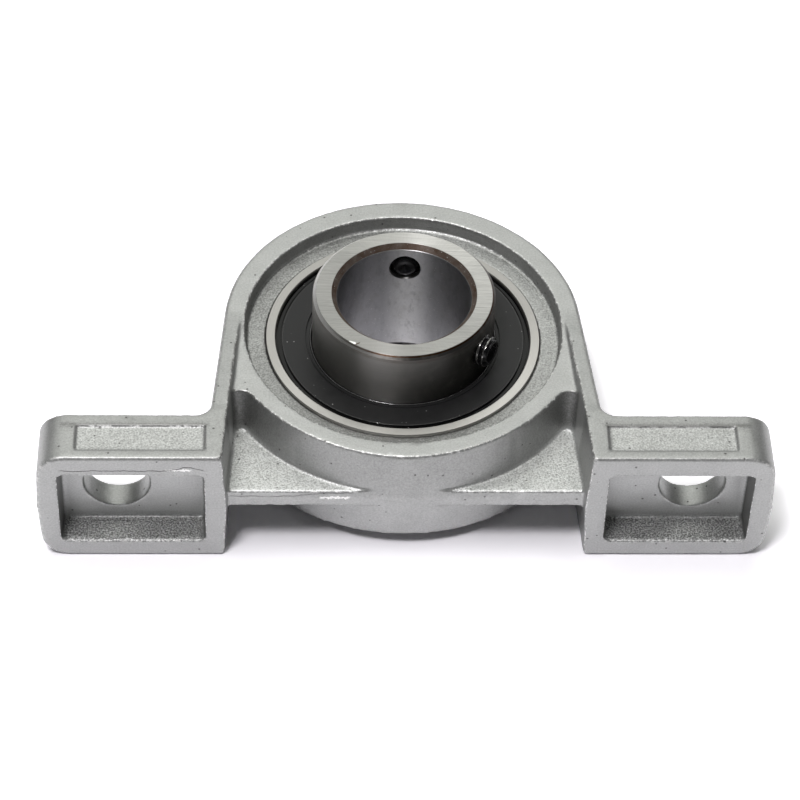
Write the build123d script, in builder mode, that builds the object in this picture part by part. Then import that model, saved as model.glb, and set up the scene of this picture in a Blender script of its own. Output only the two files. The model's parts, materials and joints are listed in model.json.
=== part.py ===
from build123d import *
import os
from math import cos, radians, sin, sqrt, tan

# Miniature pillow block: a die-cast housing that holds a spherical insert bearing.
# The shaft axis is Z, the mounting face looks along -Y and the feet reach along X.
# The origin is the centre of the spherical seat, on the parting plane of the casting.

# Housing, mounting sizes
shaft_height = 22.0
foot_span = 80.0
bolt_spacing = 63.0
bolt_hole_diameter = 7.2
foot_depth = 15.7
foot_thickness = 6.9

# Housing, casting sizes
draft_angle = 3.0
ring_wall = 3.1
ring_width = 12.0
side_inset = 0.4
side_flare_angle = 4.4
side_wall_at_axis = 2.45
side_wall_at_base = 2.74
shoulder_blend_inset = 0.9
web_thickness = 2.3
web_front_setback = 1.3
side_slope_angle = 6.28
side_slope_end_gap = 0.3
side_foot_fillet = 1.5
hollow_corner_radius = 0.8
foot_end_radius = 3.0
cast_edge_radius = 0.4

# Housing, foot pocket and the plain recessed panel on each foot
pocket_wall = 2.4
pocket_depth = 3.6
pocket_corner_radius = 0.7
pocket_draft_angle = 1.5
panel_width = 14.0
panel_height = 3.7
panel_depth = 0.3
panel_inner_margin = 2.2
panel_base_margin = 1.3

# Housing, seat and the counterbore around it
seat_clearance = 0.02
ledge_height = 4.25
counterbore_gap = 1.8

# Insert bearing
outer_ring_diameter = 32.0
outer_ring_width = 9.0
shaft_bore = 15.0
collar_height = 11.15
bore_chamfer = 0.6
collar_chamfer = 0.4
back_chamfer = 0.3
ring_edge_chamfer = 0.12
ball_diameter = 4.762
ball_count = 9
groove_conformity = 0.52
ball_clearance = 0.02
outer_shoulder_rise = 1.5
inner_shoulder_rise = 1.55

# Ball cage, two pressed steel halves riveted together
cage_sheet = 0.45
cage_strip_width = 2.0
cage_pocket_clearance = 0.08
rivet_diameter = 0.9
rivet_head_diameter = 1.5
rivet_head_height = 0.35
rivet_clearance = 0.02

# Contact seals, black rubber moulded on a steel washer
seal_recess = 0.35
seal_depth = 0.8
seal_mouth_wall = 1.7
seal_groove_depth = 0.2
seal_rim_clearance = 0.05
seal_lip_clearance = 0.03
seal_core_sheet = 0.25
seal_core_margin = 0.9
seal_core_rim_cover = 0.5
seal_line_width = 0.15
seal_line_depth = 0.25
seal_lip_width = 0.6
seal_lip_drop = 0.1
seal_gap_width = 0.2
seal_gap_depth = 0.3
seal_bead_width = 0.3
seal_rim_drop = 0.35

# Set screws, drawn plain at the pitch size of their thread
screw_pitch_diameter = 3.5
screw_clearance = 0.05
screw_length = 3.8
screw_tip_gap = 0.1
screw_angles = (87.5, -32.5)
screw_hex_size = 2.0
screw_socket_depth = 1.6
screw_point_diameter = 2.4
screw_point_length = 0.45
screw_cup_diameter = 1.5
screw_cup_depth = 0.4
screw_end_chamfer = 0.25

# Values worked out from the sizes above
draft_slope = tan(radians(draft_angle))
flare_slope = tan(radians(side_flare_angle))
half_span = foot_span / 2
half_depth = foot_depth / 2
half_ring = ring_width / 2
half_web = web_thickness / 2
base_y = -shaft_height
foot_top_y = base_y + foot_thickness
side_slope_end_y = foot_top_y + side_slope_end_gap
side_slope_start = side_slope_end_y + (half_depth - half_ring) / tan(radians(side_slope_angle))
below_base_y = base_y - 2.0
above_cast = half_depth + 2.0
outer_ring_radius = outer_ring_diameter / 2
seat_radius = outer_ring_radius + seat_clearance
counterbore_radius = outer_ring_radius + counterbore_gap
ring_radius = counterbore_radius + ring_wall
shoulder_blend_radius = ring_radius - shoulder_blend_inset
side_half_width = ring_radius - side_inset
hollow_half_width_at_axis = side_half_width - side_wall_at_axis
foot_inner_half_gap = side_half_width + flare_slope * shaft_height - side_wall_at_base
half_outer_ring = outer_ring_width / 2
ball_radius = ball_diameter / 2
bore_radius = shaft_bore / 2
pitch_radius = (outer_ring_radius + bore_radius) / 2
groove_radius = groove_conformity * ball_diameter
outer_shoulder_radius = pitch_radius + outer_shoulder_rise
inner_ring_radius = pitch_radius - inner_shoulder_rise
ball_step = 360 / ball_count
screw_hole_radius = screw_pitch_diameter / 2 + screw_clearance
screw_height = (half_outer_ring + collar_height) / 2
screw_tip_radius = bore_radius + screw_tip_gap
pieces = {}


def keep(name, part):
    """Label a finished piece and list it for export."""
    part.label = name
    pieces[name] = part


def inner_wall_x(y):
    """Half the width between the side walls at height y, on the parting plane."""
    widening = (foot_inner_half_gap - hollow_half_width_at_axis) / base_y
    return hollow_half_width_at_axis + widening * y


# Outer form: the outline at the parting plane, drawn out with draft
meet_b = side_half_width * flare_slope
meet_y = meet_b + sqrt(ring_radius**2 * (1 + flare_slope**2) - side_half_width**2)
meet_y = meet_y / (1 + flare_slope**2)
meet_x = side_half_width - flare_slope * meet_y
wall_foot_x = side_half_width - flare_slope * foot_top_y

with BuildPart() as body:
    with BuildSketch(Plane.XY):
        with BuildLine():
            Polyline(
                (0, below_base_y),
                (half_span, below_base_y),
                (half_span, foot_top_y),
                (wall_foot_x, foot_top_y),
                (meet_x, meet_y),
            )
            RadiusArc((meet_x, meet_y), (0, ring_radius), -ring_radius)
            mirror(about=Plane.YZ)
        make_face()
        outline = vertices()
        fillet(outline.filter_by_position(Axis.Y, meet_y - 0.1, meet_y + 0.1), shoulder_blend_radius)
        wall_feet = vertices().filter_by_position(Axis.Y, foot_top_y - 0.1, foot_top_y + 0.1)
        fillet(wall_feet.filter_by_position(Axis.X, -half_span + 1, half_span - 1), side_foot_fillet)
    extrude(amount=half_depth, taper=draft_angle)
    # The side walls slope from the ring face down to the feet
    with BuildSketch(Plane.YZ):
        with BuildLine():
            Polyline(
                (ring_radius + 1, half_ring),
                (side_slope_start, half_ring),
                (side_slope_end_y, half_depth),
                (side_slope_end_y, above_cast),
                (ring_radius + 1, above_cast),
                close=True,
            )
        make_face()
    extrude(amount=half_span, both=True, mode=Mode.SUBTRACT)
    # The mounting face is flat, so the drafted form is cut off there
    split(bisect_by=Plane.XZ.offset(shaft_height), keep=Keep.BOTTOM)

# Region between the inner faces of the side walls, at the parting plane
wall_top_y = side_slope_start + 1.0
wall_top = (inner_wall_x(wall_top_y), wall_top_y)
wall_base = (inner_wall_x(below_base_y), below_base_y)

with BuildSketch(Plane.XY) as between_walls:
    with BuildLine():
        Polyline((0, wall_top_y), wall_top, wall_base, (0, below_base_y))
        mirror(about=Plane.YZ)
    make_face()

# Room in front of the ring face, which is what makes the side walls stand proud of it
with BuildPart() as clearing:
    extrude(between_walls.sketch, amount=above_cast, taper=-draft_angle)
    split(bisect_by=Plane.XY.offset(half_ring), keep=Keep.TOP)

# Hollow between the ring, the side walls and the web, and the room under the web's edge
with BuildPart() as hollow:
    with BuildSketch(Plane.XY):
        add(between_walls.sketch)
        Circle(ring_radius, mode=Mode.SUBTRACT)
        notches = vertices().filter_by_position(Axis.Y, -ring_radius, side_slope_start)
        fillet(notches, hollow_corner_radius)
    extrude(amount=half_ring, taper=-draft_angle)
    split(bisect_by=Plane.XY.offset(half_web), keep=Keep.TOP)
    with BuildSketch(Plane.XY):
        add(between_walls.sketch)
        with Locations((0, base_y + web_front_setback)):
            Rectangle(foot_span, 2 * shaft_height, align=(Align.CENTER, Align.MIN), mode=Mode.SUBTRACT)
        Circle(ring_radius, mode=Mode.SUBTRACT)
    extrude(amount=half_web, taper=-draft_angle)

# Recess behind the counterbore wall and the spherical seat, turned about the shaft axis
ledge_inner_radius = sqrt(seat_radius**2 - ledge_height**2)
counterbore_floor_radius = counterbore_radius - draft_slope * (half_ring - ledge_height)
front_ledge = (ledge_inner_radius, ledge_height)
back_ledge = (ledge_inner_radius, -ledge_height)

with BuildPart() as seat_room:
    with BuildSketch(Plane.XZ):
        with BuildLine():
            Polyline(
                (0, above_cast),
                (counterbore_radius, above_cast),
                (counterbore_radius, half_ring),
                (counterbore_floor_radius, ledge_height),
                front_ledge,
            )
            ThreePointArc(front_ledge, (seat_radius, 0), back_ledge)
            Polyline(
                back_ledge,
                (counterbore_floor_radius, -ledge_height),
                (counterbore_radius, -half_ring),
                (counterbore_radius, -above_cast),
                (0, -above_cast),
                (0, above_cast),
            )
        make_face()
    revolve(axis=Axis.Z)

# Pocket in the underside of a foot, with the bolt hole in its floor
pocket_inner_x = foot_inner_half_gap + pocket_wall
pocket_outer_x = half_span - pocket_wall
pocket_length = pocket_outer_x - pocket_inner_x
pocket_width = foot_depth - 2 * pocket_wall
pocket_centre_x = (pocket_inner_x + pocket_outer_x) / 2
foot_face = Plane(origin=(0, base_y, 0), x_dir=(1, 0, 0), z_dir=(0, 1, 0))

with BuildPart() as foot_cut:
    with BuildSketch(foot_face):
        with Locations((pocket_centre_x, 0)):
            RectangleRounded(pocket_length, pocket_width, pocket_corner_radius)
    extrude(amount=pocket_depth, taper=pocket_draft_angle)
    with BuildSketch(foot_face):
        with Locations((bolt_spacing / 2, 0)):
            Circle(bolt_hole_diameter / 2)
    extrude(amount=foot_thickness + 1)
    mirror(about=Plane.YZ)

# Plain recessed panel on the front of each foot
panel_centre_x = foot_inner_half_gap + panel_inner_margin + panel_width / 2
panel_centre_y = base_y + panel_base_margin + panel_height / 2

with BuildPart() as panels:
    with BuildSketch(Plane.XY.offset(half_depth - panel_depth)):
        with Locations((panel_centre_x, panel_centre_y), (-panel_centre_x, panel_centre_y)):
            Rectangle(panel_width, panel_height)
    extrude(amount=panel_depth + 1)

# Front half of the casting, with its cast edges rounded before it is mirrored
ring_face_y = 1.0
near_face = half_depth - 0.1

with BuildPart() as front_half:
    add(body.part)
    add(clearing.part, mode=Mode.SUBTRACT)
    add(hollow.part, mode=Mode.SUBTRACT)
    foot_ends = edges().filter_by(Axis.Y).filter_by_position(Axis.Z, near_face, above_cast)
    fillet(foot_ends, foot_end_radius)
    ring_edges = edges().filter_by(GeomType.CIRCLE).filter_by_position(Axis.Z, half_ring, half_ring)
    ring_edges = ring_edges.filter_by_position(Axis.Y, ring_face_y, ring_radius)
    side_edges = edges().filter_by(GeomType.LINE).filter_by(lambda edge: edge.length > shaft_height / 2)
    side_edges = side_edges.filter_by_position(Axis.Z, half_ring, near_face, inclusive=(False, False))
    # The rounding runs on by itself along the top of each foot
    fillet(ring_edges + side_edges, cast_edge_radius)
    base_edges = edges().filter_by(Axis.X).filter_by_position(Axis.Z, near_face, above_cast)
    fillet(base_edges.group_by(Axis.Y)[0], cast_edge_radius)

with BuildPart() as housing:
    add(front_half.part)
    mirror(about=Plane.XY)
    add(seat_room.part, mode=Mode.SUBTRACT)
    add(foot_cut.part, mode=Mode.SUBTRACT)
    add(panels.part, mode=Mode.SUBTRACT)
keep("housing", housing.part)

# Outer ring: ball outside, raceway inside, a step and a groove for a seal on each side
seal_face = half_outer_ring - seal_recess
seal_seat = seal_face - seal_depth
seal_mouth_radius = outer_ring_radius - seal_mouth_wall
seal_groove_radius = seal_mouth_radius + seal_groove_depth
outer_face_radius = sqrt(outer_ring_radius**2 - half_outer_ring**2)
outer_groove_centre = pitch_radius + ball_radius + ball_clearance - groove_radius
inner_groove_centre = pitch_radius - ball_radius - ball_clearance + groove_radius

with BuildPart() as outer_ring:
    with BuildSketch(Plane.XZ):
        with BuildLine():
            Polyline(
                (outer_face_radius, half_outer_ring),
                (seal_mouth_radius + ring_edge_chamfer, half_outer_ring),
                (seal_mouth_radius, half_outer_ring - ring_edge_chamfer),
                (seal_mouth_radius, seal_face - seal_rim_drop + ring_edge_chamfer),
                (seal_groove_radius, seal_face - seal_rim_drop),
                (seal_groove_radius, seal_seat),
                (outer_shoulder_radius, seal_seat),
                (outer_shoulder_radius, 0),
            )
            mirror(about=Plane.XZ)
            ThreePointArc(
                (outer_face_radius, half_outer_ring),
                (outer_ring_radius, 0),
                (outer_face_radius, -half_outer_ring),
            )
        make_face()
        with Locations((outer_groove_centre, 0)):
            Circle(groove_radius, mode=Mode.SUBTRACT)
    revolve(axis=Axis.Z)
keep("outer_ring", outer_ring.part)

# Inner ring: raceway outside, long collar with two tapped holes for the set screws
screw_planes = [
    Plane(origin=(0, 0, screw_height), x_dir=(0, 0, 1), z_dir=(cos(radians(angle)), sin(radians(angle)), 0))
    for angle in screw_angles
]

with BuildPart() as inner_ring:
    with BuildSketch(Plane.XZ):
        with BuildLine():
            Polyline(
                (bore_radius, back_chamfer - half_outer_ring),
                (bore_radius + back_chamfer, -half_outer_ring),
                (inner_ring_radius - back_chamfer, -half_outer_ring),
                (inner_ring_radius, back_chamfer - half_outer_ring),
                (inner_ring_radius, collar_height - collar_chamfer),
                (inner_ring_radius - collar_chamfer, collar_height),
                (bore_radius + bore_chamfer, collar_height),
                (bore_radius, collar_height - bore_chamfer),
                close=True,
            )
        make_face()
        with Locations((inner_groove_centre, 0)):
            Circle(groove_radius, mode=Mode.SUBTRACT)
    revolve(axis=Axis.Z)
    for plane in screw_planes:
        with BuildSketch(plane.offset(bore_radius / 2)):
            Circle(screw_hole_radius)
        extrude(amount=inner_ring_radius, mode=Mode.SUBTRACT)
keep("inner_ring", inner_ring.part)

# Balls
for number in range(ball_count):
    with BuildPart() as ball:
        with PolarLocations(pitch_radius, 1, start_angle=90 + number * ball_step):
            Sphere(ball_radius)
    keep(f"ball_{number + 1}", ball.part)

# Cage: each half is a strip that arches over every ball and lies flat at the rivets between them
cage_inner_radius = pitch_radius - cage_strip_width / 2
cage_outer_radius = pitch_radius + cage_strip_width / 2
cage_pocket_radius = ball_radius + cage_pocket_clearance
arch_half_width = cage_pocket_radius + cage_sheet / 2
rivet_start = 90 + ball_step / 2
half_step = radians(ball_step / 2)
(strip_outer, strip_outer_half), (strip_inner, strip_inner_half) = [
    (
        radius * cos(half_step) + arch_half_width * sin(half_step),
        radius * sin(half_step) - arch_half_width * cos(half_step),
    )
    for radius in (cage_outer_radius, cage_inner_radius)
]
rivet_radius = (strip_outer + strip_inner) / 2

with BuildPart() as cage_arch:
    with BuildSketch(Plane.XZ.offset(-cage_outer_radius)):
        Circle(cage_pocket_radius + cage_sheet)
        Circle(cage_pocket_radius, mode=Mode.SUBTRACT)
        with Locations((0, -ball_radius - cage_sheet)):
            Rectangle(2 * ball_diameter, ball_diameter + 2 * cage_sheet, mode=Mode.SUBTRACT)
    extrude(amount=cage_strip_width)

with BuildPart() as cage_front_half:
    with BuildSketch(Plane.XY):
        with PolarLocations(0, ball_count, start_angle=rivet_start):
            Polygon(
                (strip_outer, strip_outer_half),
                (strip_inner, strip_inner_half),
                (strip_inner, -strip_inner_half),
                (strip_outer, -strip_outer_half),
                align=None,
            )
        with PolarLocations(rivet_radius, ball_count, start_angle=rivet_start):
            Circle(rivet_diameter / 2 + rivet_clearance, mode=Mode.SUBTRACT)
    extrude(amount=cage_sheet)
    with PolarLocations(0, ball_count):
        add(cage_arch.part)
keep("cage_front_half", cage_front_half.part)

with BuildPart() as cage_back_half:
    add(cage_front_half.part.mirror(Plane.XY))
keep("cage_back_half", cage_back_half.part)

with BuildPart() as cage_rivets:
    with PolarLocations(rivet_radius, ball_count, start_angle=rivet_start):
        Cylinder(rivet_diameter / 2, 2 * cage_sheet)
    for side in (1, -1):
        with BuildSketch(Plane.XY.offset(side * cage_sheet)):
            with PolarLocations(rivet_radius, ball_count, start_angle=rivet_start):
                Circle(rivet_head_diameter / 2)
        extrude(amount=side * rivet_head_height)
keep("cage_rivets", cage_rivets.part)

# Seals: a steel washer with black rubber moulded over its front, its rim and its bore
core_inner_radius = inner_ring_radius + seal_core_margin
core_outer_radius = seal_groove_radius - seal_core_rim_cover
core_top = seal_seat + seal_core_sheet
lip_radius = inner_ring_radius + seal_lip_clearance
lip_outer_radius = lip_radius + seal_lip_width
flat_inner_radius = lip_outer_radius + seal_line_width
bead_outer_radius = seal_mouth_radius - seal_gap_width
bead_inner_radius = bead_outer_radius - seal_bead_width
flat_outer_radius = bead_inner_radius - seal_gap_width
rim_radius = seal_groove_radius - seal_rim_clearance
rim_top = seal_face - seal_rim_drop - seal_rim_clearance

with BuildPart() as front_seal_core:
    with BuildSketch(Plane.XY.offset(seal_seat)):
        Circle(core_outer_radius)
        Circle(core_inner_radius, mode=Mode.SUBTRACT)
    extrude(amount=seal_core_sheet)
keep("front_seal_core", front_seal_core.part)

with BuildPart() as front_seal:
    with BuildSketch(Plane.XZ):
        with BuildLine():
            Polyline(
                (core_inner_radius, seal_seat),
                (core_inner_radius, core_top),
                (core_outer_radius, core_top),
                (core_outer_radius, seal_seat),
                (rim_radius, seal_seat),
                (rim_radius, rim_top),
                (bead_outer_radius, rim_top),
                (bead_outer_radius, seal_face - seal_line_depth / 2),
                (bead_inner_radius, seal_face - seal_line_depth / 2),
                (bead_inner_radius, seal_face - seal_gap_depth),
                (flat_outer_radius, seal_face - seal_gap_depth),
                (flat_outer_radius, seal_face),
                (flat_inner_radius, seal_face),
                (flat_inner_radius, seal_face - seal_line_depth),
                (lip_outer_radius, seal_face - seal_line_depth),
                (lip_outer_radius, seal_face - seal_lip_drop),
                (lip_radius + seal_lip_width / 3, seal_face - seal_lip_drop),
                (lip_radius, seal_face - seal_line_depth),
                (lip_radius, core_top),
                (lip_outer_radius, seal_seat),
                close=True,
            )
        make_face()
    revolve(axis=Axis.Z)
keep("front_seal", front_seal.part)

with BuildPart() as back_seal_core:
    add(front_seal_core.part.mirror(Plane.XY))
keep("back_seal_core", back_seal_core.part)

with BuildPart() as back_seal:
    add(front_seal.part.mirror(Plane.XY))
keep("back_seal", back_seal.part)

# Set screws: cup point towards the shaft, hexagon socket outside
screw_radius = screw_pitch_diameter / 2
point_radius = screw_point_diameter / 2
cup_radius = screw_cup_diameter / 2

for number, plane in enumerate(screw_planes):
    with BuildPart() as set_screw:
        tip = plane.offset(screw_tip_radius)
        with BuildSketch(tip):
            Circle(screw_radius)
        extrude(amount=screw_length)
        point_edge = edges().filter_by(GeomType.CIRCLE).sort_by(Axis(plane.origin, plane.z_dir))[0]
        chamfer(point_edge, screw_point_length, screw_radius - point_radius)
        end_edge = edges().filter_by(GeomType.CIRCLE).sort_by(Axis(plane.origin, plane.z_dir))[-1]
        chamfer(end_edge, screw_end_chamfer)
        with BuildSketch(tip):
            Circle(cup_radius)
        extrude(amount=screw_cup_depth, taper=60, mode=Mode.SUBTRACT)
        with BuildSketch(tip.offset(screw_length)):
            RegularPolygon(screw_hex_size / 2, 6, major_radius=False)
        extrude(amount=-screw_socket_depth, mode=Mode.SUBTRACT)
    keep(f"set_screw_{number + 1}", set_screw.part)

os.makedirs("parts", exist_ok=True)
for name, part in pieces.items():
    export_step(part, f"parts/{name}.step")
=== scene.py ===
"""A small die-cast pillow block with a sealed, self-aligning insert bearing, on a white studio floor."""
import json
import logging
import math
from dataclasses import dataclass
from enum import Enum
from typing import Callable, Dict, List, Optional, Sequence, Tuple, Union

import bpy
import numpy as np
from mathutils import Matrix, Vector, noise


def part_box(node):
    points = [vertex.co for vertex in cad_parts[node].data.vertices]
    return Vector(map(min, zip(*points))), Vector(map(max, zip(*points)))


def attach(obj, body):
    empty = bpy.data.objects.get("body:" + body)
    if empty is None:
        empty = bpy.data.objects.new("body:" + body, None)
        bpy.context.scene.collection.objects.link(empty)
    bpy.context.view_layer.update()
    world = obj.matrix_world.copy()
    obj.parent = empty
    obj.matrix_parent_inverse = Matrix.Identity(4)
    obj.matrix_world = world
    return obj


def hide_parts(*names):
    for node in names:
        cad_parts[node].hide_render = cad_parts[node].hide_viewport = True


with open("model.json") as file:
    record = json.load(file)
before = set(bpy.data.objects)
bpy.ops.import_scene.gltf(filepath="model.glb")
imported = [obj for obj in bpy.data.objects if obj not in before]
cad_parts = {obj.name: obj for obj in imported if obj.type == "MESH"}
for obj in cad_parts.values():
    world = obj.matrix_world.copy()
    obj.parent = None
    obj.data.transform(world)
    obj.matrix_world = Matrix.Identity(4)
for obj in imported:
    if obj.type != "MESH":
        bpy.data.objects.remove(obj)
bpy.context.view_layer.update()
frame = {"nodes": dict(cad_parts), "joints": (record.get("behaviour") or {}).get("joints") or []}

MM = 0.001
UP = Vector((0, 0, 1))
WHITE = (1.0, 1.0, 1.0, 1.0)
Colour = Tuple[float, float, float]
Point = Tuple[float, float, float]
Span = Tuple[float, ...]

log = logging.getLogger("pillow_block")


def mm(*values: float) -> Span:
    """Return millimetres as metres."""
    return tuple(value * MM for value in values)


class CutLines(Enum):
    """The way the cut lines of a machined face run."""

    ROUND = "round"
    STRAIGHT = "straight"


class Wire:
    """A shader socket that can be used in sums."""

    def __init__(self, tree: bpy.types.NodeTree, socket: bpy.types.NodeSocket) -> None:
        """Remember the socket and the tree that new Math nodes go into."""
        self.tree = tree
        self.socket = socket

    def math(self, operation: str, *values: Union["Wire", float], clamp: bool = False) -> "Wire":
        """Add a Math node.

        Args:
            operation: The Math node's operation.
            values: Its inputs in order, as wires or numbers.
            clamp: Keep the result between 0 and 1.

        Returns:
            The result as a wire.
        """
        node = self.tree.nodes.new("ShaderNodeMath")
        node.operation = operation
        node.use_clamp = clamp
        for socket, value in zip(node.inputs, values):
            if isinstance(value, Wire):
                self.tree.links.new(value.socket, socket)
            else:
                socket.default_value = value
        return Wire(self.tree, node.outputs[0])

    def __add__(self, other: Union["Wire", float]) -> "Wire":
        """Return self + other."""
        return self.math("ADD", self, other)

    def __radd__(self, other: float) -> "Wire":
        """Return other + self."""
        return self.math("ADD", other, self)

    def __sub__(self, other: Union["Wire", float]) -> "Wire":
        """Return self - other."""
        return self.math("SUBTRACT", self, other)

    def __rsub__(self, other: float) -> "Wire":
        """Return other - self."""
        return self.math("SUBTRACT", other, self)

    def __mul__(self, other: Union["Wire", float]) -> "Wire":
        """Return self * other."""
        return self.math("MULTIPLY", self, other)

    def __rmul__(self, other: float) -> "Wire":
        """Return other * self."""
        return self.math("MULTIPLY", other, self)

    def __truediv__(self, other: Union["Wire", float]) -> "Wire":
        """Return self / other."""
        return self.math("DIVIDE", self, other)

    def __abs__(self) -> "Wire":
        """Return self without its sign."""
        return self.math("ABSOLUTE", self)

    def clamped(self) -> "Wire":
        """Return self kept between 0 and 1."""
        return self.math("ADD", self, 0.0, clamp=True)

    def at_least(self, other: Union["Wire", float]) -> "Wire":
        """Return the larger of self and other."""
        return self.math("MAXIMUM", self, other)

    def distance(self, other: "Wire") -> "Wire":
        """Return how far the point (self, other) lies from the origin."""
        return self.math("SQRT", self * self + other * other)

    def angle(self, other: "Wire") -> "Wire":
        """Return the angle of the point (self, other) round the origin."""
        return self.math("ARCTAN2", other, self)

    def inside(self, low: float, high: float, edge: float) -> "Wire":
        """Return a soft mask that is 1 between low and high and 0 past edge beyond them.

        Args:
            low: Where the mask becomes 1.
            high: Where it stops being 1.
            edge: The width of its soft edge, outside low and high.

        Returns:
            The mask as a wire.
        """
        rise = ((self - (low - edge)) / edge).clamped()
        fall = (((high + edge) - self) / edge).clamped()
        return rise * fall

    def above(self, low: float, edge: float) -> "Wire":
        """Return a soft mask that is 1 from low on."""
        return ((self - (low - edge)) / edge).clamped()

    def below(self, high: float, edge: float) -> "Wire":
        """Return a soft mask that is 1 up to high."""
        return (((high + edge) - self) / edge).clamped()


Input = Union[Wire, float, Sequence[float]]


@dataclass(frozen=True)
class Spot:
    """A place on the surface, and how far it lies from the axis of the bore."""

    x: Wire
    y: Wire
    z: Wire
    radius: Wire


class Shader:
    """A material or a world under construction."""

    dot_sharpness: float = 30.0

    def __init__(self, owner: Union[bpy.types.Material, bpy.types.World]) -> None:
        """Start with an empty node tree.

        Args:
            owner: The material or world to build.
        """
        owner.use_nodes = True
        self.owner = owner
        self.tree = owner.node_tree
        self.tree.nodes.clear()
        self._place: Optional[Wire] = None

    def node(self, kind: str, settings: Optional[dict] = None, inputs: Optional[dict] = None,
             output: Union[int, str] = 0) -> Wire:
        """Add any node.

        Args:
            kind: The node's type.
            settings: Its properties, set first.
            inputs: Values or wires by socket name or number.
            output: The output to return.

        Returns:
            The chosen output as a wire.
        """
        node = self.tree.nodes.new(kind)
        for key, value in (settings or {}).items():
            setattr(node, key, value)
        for key, value in (inputs or {}).items():
            if isinstance(value, Wire):
                self.tree.links.new(value.socket, node.inputs[key])
            else:
                node.inputs[key].default_value = value
        return Wire(self.tree, node.outputs[output])

    def place(self) -> Wire:
        """Return the place on the surface, in the row frame.

        Returns:
            The place as a wire.
        """
        if self._place is None:
            self._place = self.node("ShaderNodeTexCoord", output="Object")
        return self._place

    def spot(self) -> Spot:
        """Return the place on the surface, taken apart.

        Returns:
            Its three parts, and its distance from the axis of the bore.
        """
        split = self.node("ShaderNodeSeparateXYZ", inputs={0: self.place()})
        x, y, z = (Wire(self.tree, socket) for socket in split.socket.node.outputs)
        return Spot(x, y, z, x.distance(y))

    def vector(self, x: Input, y: Input, z: Input) -> Wire:
        """Return a vector made of three values."""
        return self.node("ShaderNodeCombineXYZ", inputs={0: x, 1: y, 2: z})

    def stored(self, name: str) -> Wire:
        """Return a value that the mesh stores at its corners."""
        return self.node("ShaderNodeAttribute", {"attribute_name": name}, output="Fac")

    def grain(self, size: float, detail: float = 2.0, roughness: float = 0.5,
              vector: Optional[Wire] = None) -> Wire:
        """Return noise between 0 and 1.

        Args:
            size: The size of its features, in metres.
            detail: How many finer layers it has.
            roughness: How strong the finer layers are.
            vector: Where to read it, or None for the place on the surface.

        Returns:
            The noise as a wire.
        """
        where = vector or self.place()
        inputs = {"Vector": where, "Scale": 1 / size, "Detail": detail, "Roughness": roughness}
        return self.node("ShaderNodeTexNoise", inputs=inputs)

    def dots(self, spacing: float, share: float) -> Wire:
        """Return a mask of small dots.

        Args:
            spacing: How far apart they lie, in metres.
            share: Their radius as a share of the spacing.

        Returns:
            The mask as a wire.
        """
        inputs = {"Vector": self.place(), "Scale": 1 / spacing}
        near = self.node("ShaderNodeTexVoronoi", inputs=inputs, output="Distance")
        return ((share - near) * self.dot_sharpness).clamped()

    def mix(self, factor: Input, first: Input, second: Input) -> Wire:
        """Return a colour between two colours.

        Args:
            factor: 0 for the first colour and 1 for the second.
            first: A wire or a colour.
            second: Another.

        Returns:
            The colour as a wire.
        """
        factor_socket, first_socket, second_socket, colour_output = 0, 6, 7, 2
        first, second = (colour if isinstance(colour, Wire) else (*colour, 1.0) for colour in (first, second))
        inputs = {factor_socket: factor, first_socket: first, second_socket: second}
        return self.node("ShaderNodeMix", {"data_type": "RGBA"}, inputs, colour_output)

    def bump(self, height: Wire, depth: float, normal: Optional[Wire] = None) -> Wire:
        """Return a normal that follows a height.

        Args:
            height: The height, in any unit.
            depth: How high one unit is, in metres.
            normal: A normal to add to.

        Returns:
            The normal as a wire.
        """
        inputs: dict = {"Height": height, "Distance": depth, "Strength": 1.0}
        if normal is not None:
            inputs["Normal"] = normal
        return self.node("ShaderNodeBump", inputs=inputs)

    def finish(self, **inputs: Input) -> bpy.types.Material:
        """Close the material with a Principled shader.

        Args:
            inputs: Its sockets, with _ for a space.

        Returns:
            The material.
        """
        named = {key.replace("_", " "): value for key, value in inputs.items()}
        self.close("ShaderNodeOutputMaterial", self.node("ShaderNodeBsdfPrincipled", inputs=named))
        return self.owner

    def close(self, kind: str, surface: Wire) -> None:
        """Add the tree's output node and feed it."""
        self.tree.links.new(surface.socket, self.tree.nodes.new(kind).inputs["Surface"])


@dataclass(frozen=True)
class Mark:
    """Where a mark lies. Each span is its lowest and highest place and the width of its soft edge."""

    x: Span
    y: Span
    z: Span

    def mask(self, spot: Spot, z: Wire) -> Wire:
        """Return the mark's mask, with z in the place of the spot's own."""
        return spot.x.inside(*self.x) * spot.y.inside(*self.y) * z.inside(*self.z)


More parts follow.
